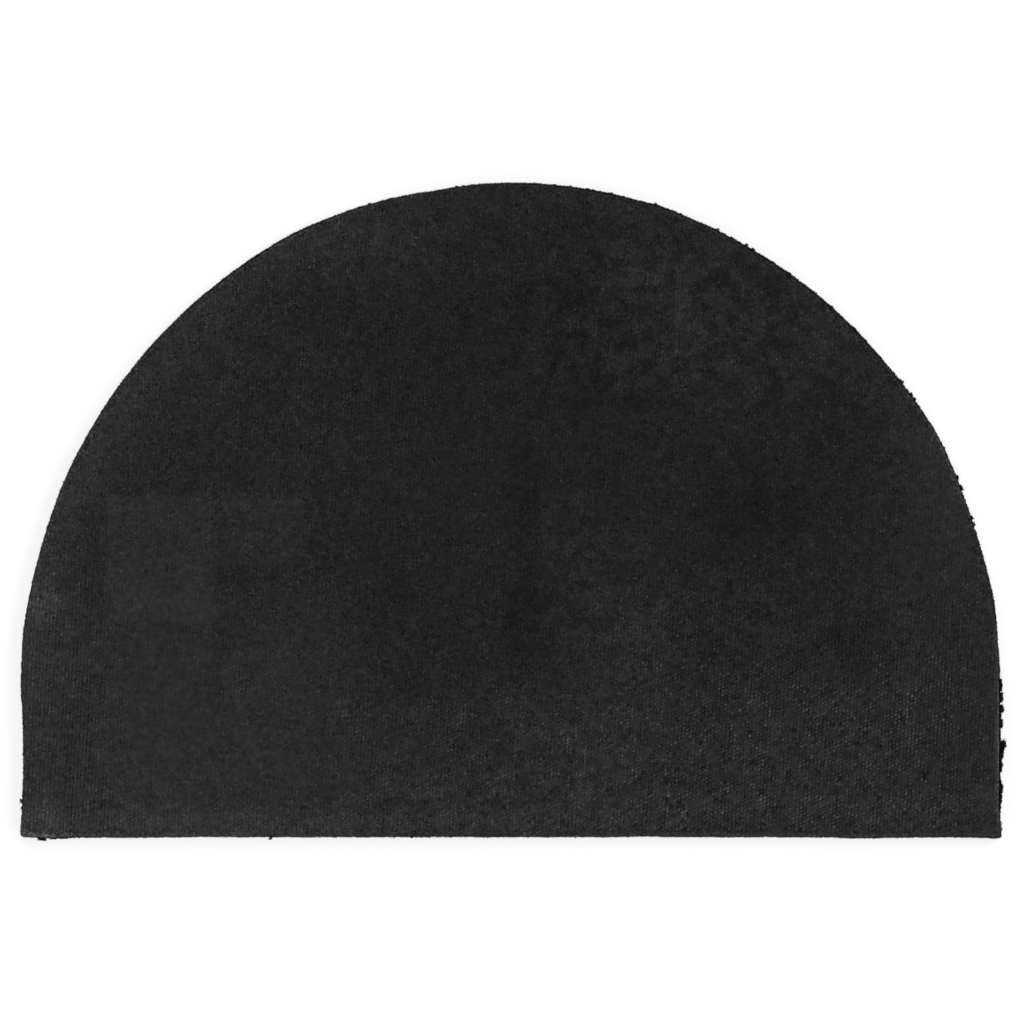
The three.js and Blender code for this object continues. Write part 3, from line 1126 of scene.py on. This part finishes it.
def small_nub(run):
    """A nub at a place by chance in a run of them, and how dusty it is."""
    at = random.uniform(run["start"], run["end"])
    reach = run["reach"] * random.uniform(0.45, 1.0)
    width = random.uniform(0.8, 2.4)
    swing = random.normal(0, 0.6)
    lines = fan(at, reach, width, fibres=9, low=6, swing=swing)
    return lines, run["dust"] * random.uniform(0.5, 1.0)


def stray_tufts():
    """The tufts, and the scattered nubs, that show past the edge."""
    groups = []
    for row in TUFTS:
        shape = {name: value for name, value in row.items() if name != "place"}
        groups.append((fan(low=2, **shape), 0.0))
    for row in NUBS:
        # Dusty ones lie high, against the backing, where their lightening is partly painted
        # light.
        low = 5 + 5 * row["dust"]
        lines = fan(row["at"], row["reach"], row["width"], fibres=40, low=low)
        groups.append((lines, row["dust"]))
    for run in NUB_RUNS:
        groups += [small_nub(run) for _ in range(run["count"])]
    lines = np.concatenate([group for group, _ in groups])
    dust = np.concatenate([np.full(len(group), value) for group, value in groups])
    count = len(lines)
    share_dusty = 0.08
    is_dusty = random.uniform(0, 1, count) < share_dusty
    dust += np.where(is_dusty, random.uniform(0.05, 0.3, count), 0)
    thick = FIBRE_RADIUS * random.uniform(0.7, 1.4, count)[:, None]
    radii = thick * np.linspace(1.1, 0.7, lines.shape[1] - 1)[None, :]
    mesh = strands(lines, radii)
    fibre_piece("pile_stray_tufts", mesh, random.uniform(0.5, 1.3, count), dust)


# The side of the pile's body from the floor up: how far past the rim of the brush and how high
# each ring of points lies. The last ring is the rim of its plain top.
CORE_TOP = BACKING_UNDERSIDE - 0.1
CORE_PROFILE = table(
    "past, height",
    (-0.5, 0.9),
    (0.3, 2.8),
    (0.4, 5.2),
    (0.1, 8.6),
    (-0.9, CORE_TOP),
)


def core_side(stations):
    """Rings of points up the side of the pile's body, uneven but for the last."""
    at, rim, outward = stations
    count = len(at)
    rim = brush_line(at, rim, outward)
    rings = []
    for row in CORE_PROFILE:
        uneven = np.zeros(count)
        if row["height"] < CORE_TOP:
            uneven = random.normal(0, 0.2, count).clip(-0.4, 0.4)
        place = rim + outward * (row["past"] + uneven)[:, None]
        rings.append(np.c_[place, np.full(count, row["height"])])
    return rings


def pile_core():
    """The body of the brush: a slab inside the rim, coarse with tufts underneath."""
    stations = rim_stations(step=1.8)
    rings = core_side(stations)
    count = len(rings[0])
    loop = rings[0][:, :2]
    flat, under, is_peak = dotted_sheet(
        PILE_TUFT_ACROSS, PILE_TUFT_ALONG, loop, PILE_MARGIN, stations
    )
    spread = 0.5 * random.normal(0, 1, (len(flat), 2))
    spread[:count] = 0
    inward, _ = depth_inside(flat, stations)
    spread *= fade_in(inward, start=2.5, depth=5)[:, None]
    tips = np.abs(random.normal(0, 0.35, len(flat))).clip(0, 1.2)
    gaps = 2.4 + 0.6 * random.normal(0, 1, len(flat)).clip(-1.5, 1.5)
    height = np.where(is_peak, tips, gaps)
    height[:count] = rings[0][:, 2]

    hub = [[0, SHOULDER_Y, CORE_TOP]]
    points = np.concatenate([np.c_[flat + spread, height], *rings[1:], hub])
    starts = [0] + [len(flat) + number * count for number in range(len(rings) - 1)]
    k = np.arange(count)
    top = starts[-1]
    lid = np.stack([np.full(count, len(points) - 1), top + k, top + (k + 1) % count], axis=1)
    triangles = np.concatenate([under[:, ::-1], walls(starts, count), lid])
    values = {"shade": random.uniform(0.5, 1.2, len(points)), "dust": np.zeros(len(points))}
    return make_piece("pile_core", points, triangles, "coir_pile", values, smooth=False)


def face_fibres():
    """Single fibres between the tufts of the pile's face."""
    spot = np.c_[
        random.uniform(-HALF_WIDTH, HALF_WIDTH, PILE_FACE_FIBRES * 2),
        random.uniform(FRONT_Y, -FRONT_Y, PILE_FACE_FIBRES * 2),
    ]
    inward, _ = depth_inside(spot, rim_stations(step=2.4))
    margin = 6
    spot = spot[inward > margin][:PILE_FACE_FIBRES]
    count = len(spot)
    lean = random.normal(0, 1.1, (count, 2))
    root_z = np.full(count, 4.0)
    tip_z = np.abs(random.normal(0, 0.3, count)).clip(0, 1)
    middle = np.c_[spot + 0.4 * lean, root_z / 2]
    lines = np.stack([np.c_[spot, root_z], middle, np.c_[spot + lean, tip_z]], axis=1)
    thick = FIBRE_RADIUS * random.uniform(0.8, 1.5, count)
    mesh = strands(lines, np.stack([thick, thick], axis=1))
    fibre_piece("pile_face_fibres", mesh, random.uniform(0.6, 1.5, count), np.zeros(count))


# The stage

def make_floor():
    half = 9.0  # metres
    corners = [(-half, -half, 0), (half, -half, 0), (half, half, 0), (-half, half, 0)]
    mesh = bpy.data.meshes.new("floor")
    mesh.from_pydata(corners, [], [(0, 1, 2, 3)])
    floor = add_object("floor", mesh)
    floor.data.materials.append(floor_paper())


# Azimuth and elevation in degrees, size in metres.
LIGHTS = table(
    "name, azimuth, elevation, size, watts",
    ("key_right", 62, 42, 1.6, 30),
    ("fill_left", 245, 38, 1.8, 21),
    ("fill_front", 150, 36, 1.8, 19),
    ("fill_back", 330, 36, 1.8, 19),
)
LIGHT_DISTANCE = 2.4  # metres
SKY_LEVEL = 0.22


def make_lights():
    """Soft boxes all round, low enough that the flat backing doesn't mirror them upwards."""
    for row in LIGHTS:
        lamp = bpy.data.lights.new(row["name"], "AREA")
        lamp.shape = "SQUARE"
        lamp.size = row["size"]
        lamp.energy = row["watts"]
        light = add_object(row["name"], lamp)
        turn = math.radians(row["azimuth"])
        rise = math.radians(row["elevation"])
        aside = LIGHT_DISTANCE * math.cos(rise)
        up = LIGHT_DISTANCE * math.sin(rise)
        light.location = (aside * math.sin(turn), aside * math.cos(turn), up)
        light.rotation_euler = (math.pi / 2 - rise, 0, math.pi - turn)
        light.visible_camera = False
    world = bpy.data.worlds.new("sky")
    world.use_nodes = True
    sky = world.node_tree.nodes["Background"]
    sky.inputs["Color"].default_value = WHITE
    sky.inputs["Strength"].default_value = SKY_LEVEL
    bpy.context.scene.world = world


def make_camera():
    """Straight above, through a long lens, framed as the photograph is."""
    lens = bpy.data.cameras.new("camera")
    lens.lens = CAMERA_LENS
    camera = add_object("camera", lens)
    width = PHOTO_PIXELS * PHOTO_SCALE * MM
    distance = width * CAMERA_LENS / lens.sensor_width
    x, y = MIDDLE + PHOTO_MIDDLE * MM
    camera.location = (x, y, BACKING_TOP * MM + distance)
    lens.clip_end = 4 * distance
    bpy.context.scene.camera = camera


make_camera()
make_floor()
make_lights()
bpy.context.scene.view_settings.view_transform = "Standard"

backing = make_backing()
core = pile_core()
rim_brush()
stray_tufts()
face_fibres()
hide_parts("backing")
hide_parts("pile")
